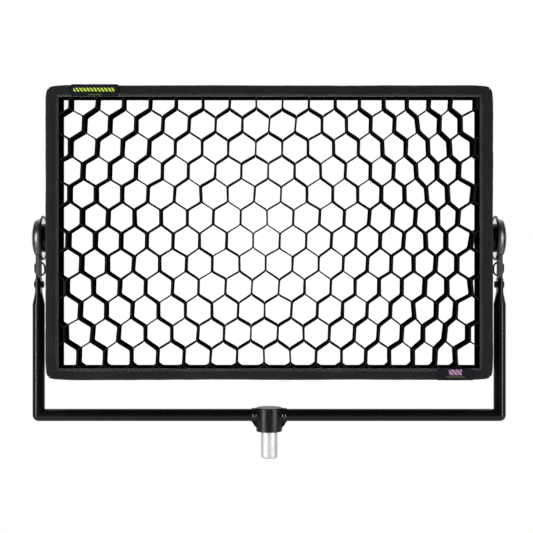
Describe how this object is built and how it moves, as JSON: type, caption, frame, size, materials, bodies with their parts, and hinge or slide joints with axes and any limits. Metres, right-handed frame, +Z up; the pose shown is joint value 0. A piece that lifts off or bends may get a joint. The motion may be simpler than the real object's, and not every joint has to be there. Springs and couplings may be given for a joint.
{
  "type": "soft panel light",
  "caption": "Rectangular soft panel light with a fabric honeycomb grid, tilting between side pivots in a tube yoke on a spigot.",
  "frame": {"origin": "on the spigot's axis at the top of its full-size shank, just under the yoke's hub", "axes": "+Z up along the spigot's axis, +X to the right seen from the front, and the light shines along -Y"},
  "size_m": [0.8214, 0.2135, 0.6338],
  "materials": {
    "powder_coat": "fine-textured black powder coat",
    "cast_black": "black painted casting",
    "spigot_steel": "turned, bright",
    "zinc_steel": "zinc plated",
    "black_screw": "blackened steel",
    "wire": "dark plated wire",
    "bright_washer": "polished",
    "gloss_knob": "glossy moulded",
    "housing": "satin black powder coat",
    "cover": "textured black powder coat",
    "anodised": "black anodised",
    "plain_aluminium": "mill finish",
    "opal": "opal acrylic",
    "reflector": "matt white",
    "circuit_white": "white solder mask with yellow chips",
    "circuit_green": "green circuit board",
    "grid_border": "black nylon, padded",
    "grid_web": "black nylon web",
    "tape": "black hook and loop",
    "moulded_black": "moulded, fine texture",
    "display": "smoked window",
    "potted": "potted unit in a plastic shell"
  },
  "bodies": {
    "yoke": {"hub_casting": "cast_black", "spigot": "spigot_steel", "pivot_collar_left": "gloss_knob", "pivot_collar_right": "gloss_knob", "hub_screws": "black_screw", "yoke_crossbar": "powder_coat", "yoke_arm_left": "powder_coat", "yoke_arm_right": "powder_coat", "yoke_lug_left": "zinc_steel", "yoke_lug_right": "zinc_steel", "lug_bolts": "black_screw", "dish_plates": "powder_coat", "friction_washers": "bright_washer"},
    "head": {"side_hub_left": "cast_black", "side_hub_right": "cast_black", "pivot_stud_left": "zinc_steel", "pivot_stud_right": "zinc_steel", "hub_bolts": "black_screw", "front_bezel": "housing", "diffuser_panel": "opal", "reflector_box": "reflector", "led_boards": "circuit_white", "back_plate": "plain_aluminium", "heat_sink_left": "anodised", "heat_sink_right": "anodised", "side_rail_left": "housing", "side_rail_right": "housing", "top_rail": "housing", "bottom_rail": "housing", "rear_cover": "cover", "housing_screws": "black_screw", "driver_case": "cover", "driver_lid": "cover", "power_supply": "potted", "driver_board": "circuit_green", "display_window": "display", "switch_frame": "moulded_black", "mains_inlet": "moulded_black", "control_sockets": "moulded_black", "rear_handle_left": "powder_coat", "rear_handle_right": "powder_coat", "loop_tape": "tape"},
    "grid": {"grid_border_top": "grid_border", "grid_border_bottom": "grid_border", "grid_border_left": "grid_border", "grid_border_right": "grid_border", "skirt_flaps": "grid_border", "honeycomb": "grid_web", "hook_tape": "tape"},
    "washer_left": {"thrust_washer_left": "zinc_steel"},
    "washer_right": {"thrust_washer_right": "zinc_steel"},
    "clamp_left": {"tilt_knob_left": "gloss_knob"},
    "clamp_right": {"tilt_knob_right": "gloss_knob"},
    "link_left": {"safety_link_left": "wire"},
    "link_right": {"safety_link_right": "wire"},
    "dimmer": {"dimmer_knob": "moulded_black"},
    "colour": {"colour_knob": "moulded_black"},
    "up": {"up_button": "moulded_black"},
    "down": {"down_button": "moulded_black"},
    "rocker": {"power_rocker": "moulded_black"}
  },
  "joints": [
    {"name": "head_tilt", "type": "hinge", "parent": "yoke", "child": "head", "pos_m": [0, 0, 0.3355], "axis": [1, 0, 0], "continuous": true},
    {"name": "grid_pull", "type": "slide", "parent": "head", "child": "grid", "axis": [0, -1, 0], "range_m": [0, 0.035]},
    {"name": "washer_left_slide", "type": "slide", "parent": "head", "child": "washer_left", "axis": [-1, 0, 0], "range_m": [0, 0.0035]},
    {"name": "knob_left_turn", "type": "hinge", "parent": "washer_left", "child": "clamp_left", "pos_m": [-0.4036, 0, 0.3355], "axis": [-1, 0, 0], "range_deg": [0, 720]},
    {"name": "link_left_swing", "type": "hinge", "parent": "yoke", "child": "link_left", "pos_m": [-0.4, 0.008, 0.2935], "axis": [1, 0, 0], "range_deg": [0, 90]},
    {"name": "washer_right_slide", "type": "slide", "parent": "head", "child": "washer_right", "axis": [1, 0, 0], "range_m": [0, 0.0035]},
    {"name": "knob_right_turn", "type": "hinge", "parent": "washer_right", "child": "clamp_right", "pos_m": [0.4036, 0, 0.3355], "axis": [1, 0, 0], "range_deg": [0, 720]},
    {"name": "link_right_swing", "type": "hinge", "parent": "yoke", "child": "link_right", "pos_m": [0.4, 0.008, 0.2935], "axis": [1, 0, 0], "range_deg": [0, 90]},
    {"name": "dimmer_turn", "type": "hinge", "parent": "head", "child": "dimmer", "pos_m": [-0.055, 0.0875, 0.385], "axis": [0, 1, 0], "continuous": true},
    {"name": "colour_turn", "type": "hinge", "parent": "head", "child": "colour", "pos_m": [0.055, 0.0875, 0.385], "axis": [0, 1, 0], "continuous": true},
    {"name": "up_press", "type": "slide", "parent": "head", "child": "up", "axis": [0, -1, 0], "range_m": [0, 0.0015], "stiffness_N_per_m": 400, "springref_m": -0.001},
    {"name": "down_press", "type": "slide", "parent": "head", "child": "down", "axis": [0, -1, 0], "range_m": [0, 0.0015], "stiffness_N_per_m": 400, "springref_m": -0.001},
    {"name": "power_tip", "type": "hinge", "parent": "head", "child": "rocker", "pos_m": [0.058, 0.0875, 0.22], "axis": [1, 0, 0], "range_deg": [-16, 0]}
  ],
  "couplings": [
    {"joint": "washer_left_slide", "follows": "knob_left_turn", "m_per_rad": 0.00027852},
    {"joint": "washer_right_slide", "follows": "knob_right_turn", "m_per_rad": 0.00027852}
  ]
}
